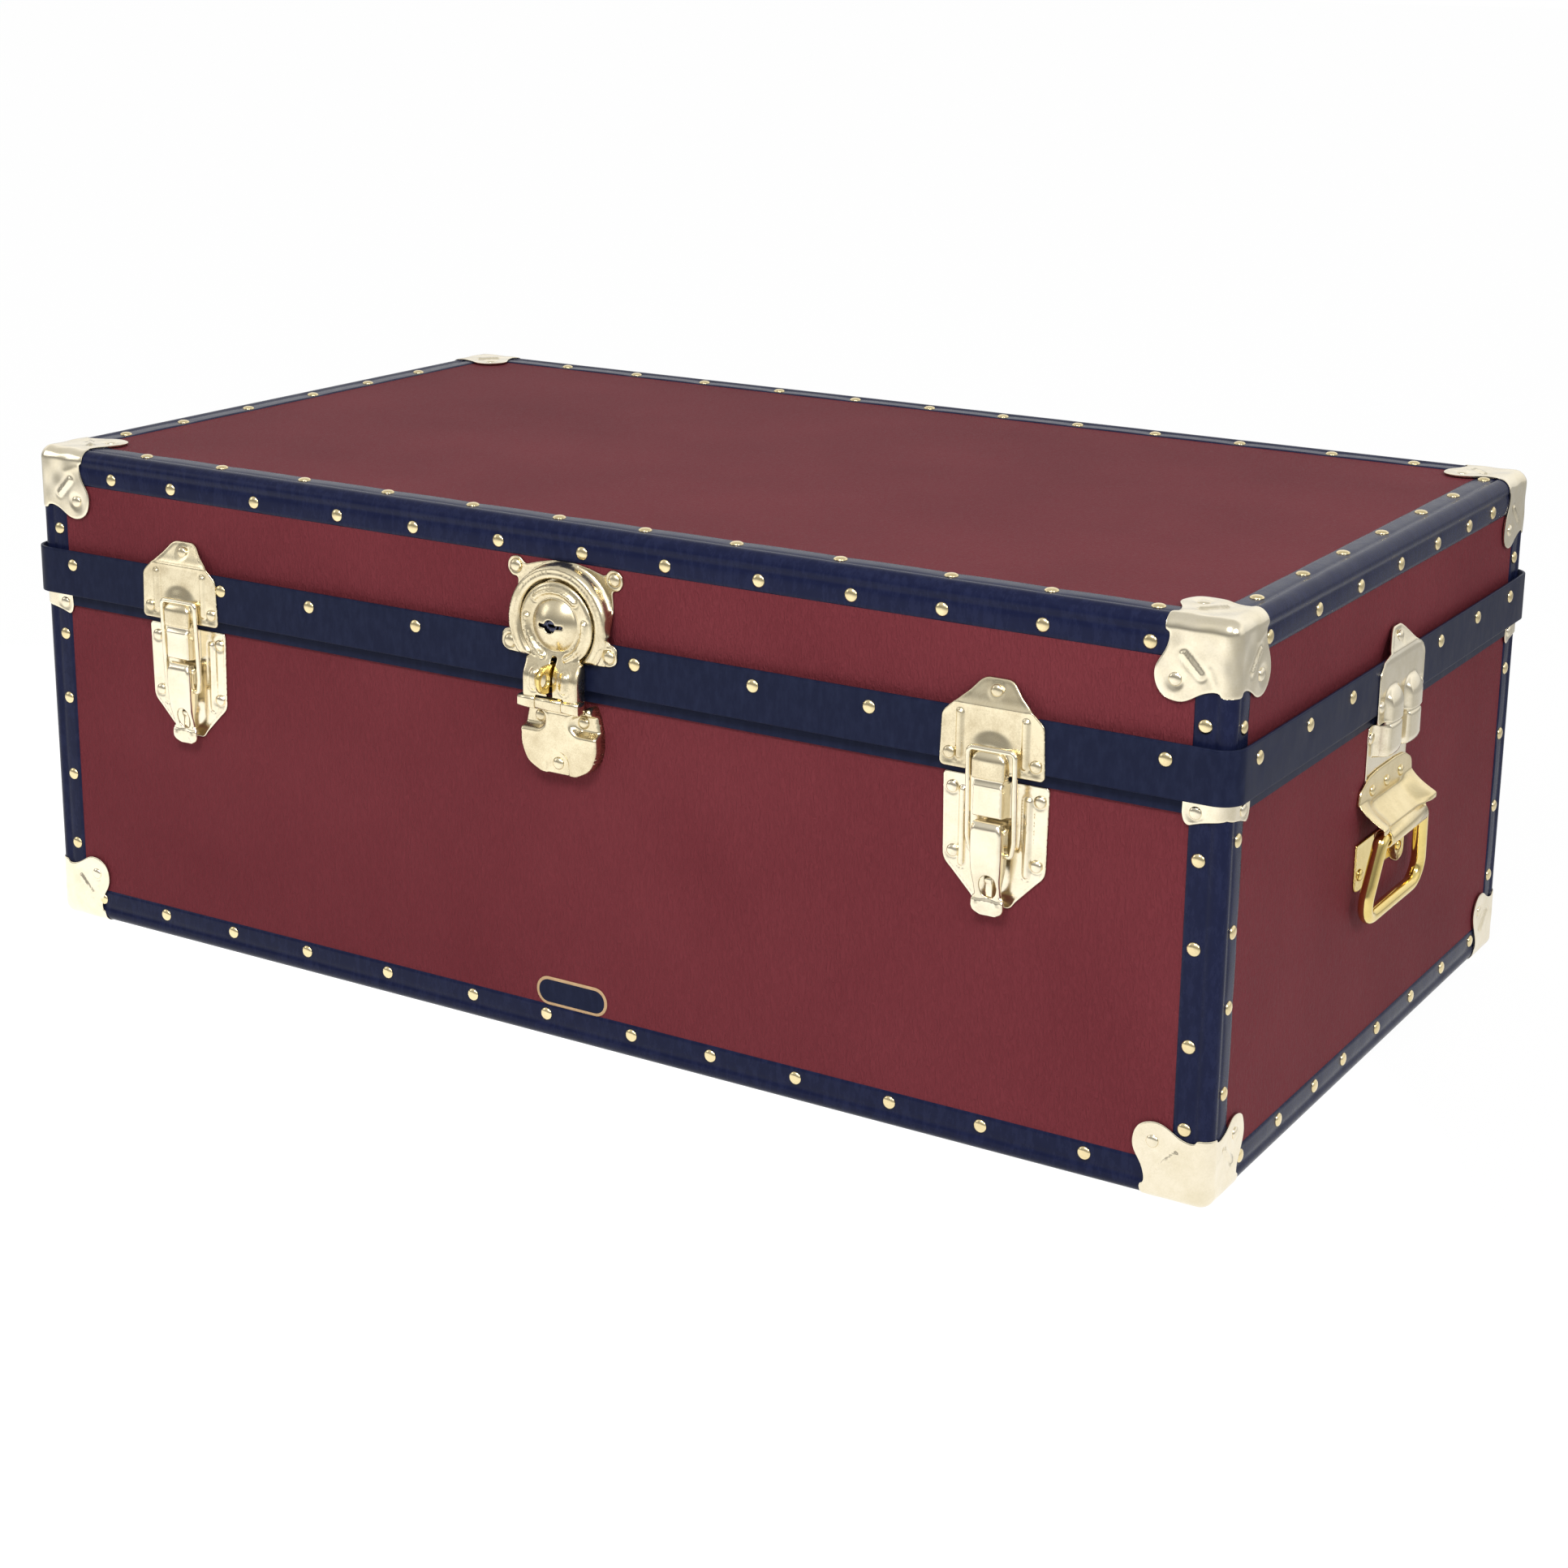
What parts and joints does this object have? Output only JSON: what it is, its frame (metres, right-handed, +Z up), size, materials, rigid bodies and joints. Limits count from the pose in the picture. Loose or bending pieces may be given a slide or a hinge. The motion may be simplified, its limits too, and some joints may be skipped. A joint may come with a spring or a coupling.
{
  "type": "storage trunk",
  "caption": "Rectangular leathercloth-covered plywood trunk with a hinged lid, fibre-bound edges, pressed brass corners, draw latches, a lock hasp and drop end handles.",
  "frame": {"origin": "centre of the whole trunk's plan, staple and hinges included, on the plane of the bottom corners' undersides", "axes": "+X along the trunk's length, +Z up, and the front with the lock and latches faces -Y"},
  "size_m": [0.954, 0.5635, 0.353],
  "materials": {
    "plywood": "raw plywood board",
    "leathercloth": "burgundy wrinkle-grained leathercloth, satin",
    "lining_paper": "plain pasted lining, matt",
    "navy_fibre": "navy vulcanised fibre, low satin",
    "pale_brass": "bright pale brass-plated steel",
    "deep_brass": "bright deep brass-plated steel",
    "steel_brassed": "brass-washed steel"
  },
  "bodies": {
    "base": {"base_floor_panel": "plywood", "base_front_panel": "plywood", "base_back_panel": "plywood", "base_left_panel": "plywood", "base_right_panel": "plywood", "base_covering": "leathercloth", "base_lining": "lining_paper", "base_front_binding": "navy_fibre", "base_back_binding": "navy_fibre", "base_left_binding": "navy_fibre", "base_right_binding": "navy_fibre", "base_corner_bindings": "navy_fibre", "base_rim_strip": "navy_fibre", "base_corner_caps": "pale_brass", "band_clips": "pale_brass", "latch_plate_left": "pale_brass", "latch_plate_right": "pale_brass", "latch_pins": "steel_brassed", "lock_base_plate": "pale_brass", "hasp_pin": "steel_brassed", "guide_plate_left": "pale_brass", "guide_plate_right": "pale_brass", "handle_plate_left": "pale_brass", "handle_plate_right": "pale_brass", "handle_back_plate_left": "pale_brass", "handle_back_plate_right": "pale_brass", "hinge_base_leaves": "steel_brassed", "hinge_pins": "steel_brassed"},
    "lid": {"lid_top_panel": "plywood", "lid_front_panel": "plywood", "lid_back_panel": "plywood", "lid_left_panel": "plywood", "lid_right_panel": "plywood", "lid_covering": "leathercloth", "lid_lining": "lining_paper", "lid_front_binding": "navy_fibre", "lid_back_binding": "navy_fibre", "lid_left_binding": "navy_fibre", "lid_right_binding": "navy_fibre", "lid_corner_bindings": "navy_fibre", "lid_band": "navy_fibre", "lid_corner_caps": "pale_brass", "latch_keeper_left": "pale_brass", "latch_keeper_right": "pale_brass", "lock_lid_plate": "pale_brass", "padlock_staple": "deep_brass", "guide_keeper_left": "pale_brass", "guide_keeper_right": "pale_brass", "hinge_lid_leaves": "steel_brassed"},
    "latch_lever_left": {"latch_lever_left": "pale_brass"},
    "latch_loop_left": {"latch_loop_left": "pale_brass"},
    "latch_lever_right": {"latch_lever_right": "pale_brass"},
    "latch_loop_right": {"latch_loop_right": "pale_brass"},
    "hasp": {"hasp": "pale_brass"},
    "lock_plug": {"lock_plug": "pale_brass"},
    "end_handle_left": {"end_handle_left": "deep_brass"},
    "end_handle_right": {"end_handle_right": "deep_brass"}
  },
  "joints": [
    {"name": "lid_hinge", "type": "hinge", "parent": "base", "child": "lid", "pos_m": [0, 0.2784, 0.2476], "axis": [-1, 0, 0], "range_deg": [0, 100]},
    {"name": "latch_lever_left_hinge", "type": "hinge", "parent": "base", "child": "latch_lever_left", "pos_m": [-0.32, -0.2575, 0.2095], "axis": [-1, 0, 0], "range_deg": [0, 110]},
    {"name": "latch_loop_left_hinge", "type": "hinge", "parent": "latch_lever_left", "child": "latch_loop_left", "pos_m": [-0.32, -0.2575, 0.195], "axis": [-1, 0, 0], "range_deg": [-121, 0]},
    {"name": "latch_lever_right_hinge", "type": "hinge", "parent": "base", "child": "latch_lever_right", "pos_m": [0.312, -0.2575, 0.2095], "axis": [-1, 0, 0], "range_deg": [0, 110]},
    {"name": "latch_loop_right_hinge", "type": "hinge", "parent": "latch_lever_right", "child": "latch_loop_right", "pos_m": [0.312, -0.2575, 0.195], "axis": [-1, 0, 0], "range_deg": [-121, 0]},
    {"name": "hasp_hinge", "type": "hinge", "parent": "base", "child": "hasp", "pos_m": [0.004, -0.2669, 0.2384], "axis": [1, 0, 0], "range_deg": [0, 140]},
    {"name": "lock_plug_turn", "type": "hinge", "parent": "hasp", "child": "lock_plug", "pos_m": [0.004, -0.2629, 0.289], "axis": [0, 1, 0], "range_deg": [0, 90]},
    {"name": "end_handle_left_hinge", "type": "hinge", "parent": "base", "child": "end_handle_left", "pos_m": [-0.4696, 0.0091, 0.167], "axis": [0, 1, 0], "range_deg": [0, 90]},
    {"name": "end_handle_right_hinge", "type": "hinge", "parent": "base", "child": "end_handle_right", "pos_m": [0.4696, 0.0091, 0.167], "axis": [0, -1, 0], "range_deg": [0, 90]}
  ],
  "couplings": [
    {"joint": "latch_loop_left_hinge", "follows": "latch_lever_left_hinge", "ratio": -1.1},
    {"joint": "latch_loop_right_hinge", "follows": "latch_lever_right_hinge", "ratio": -1.1}
  ]
}
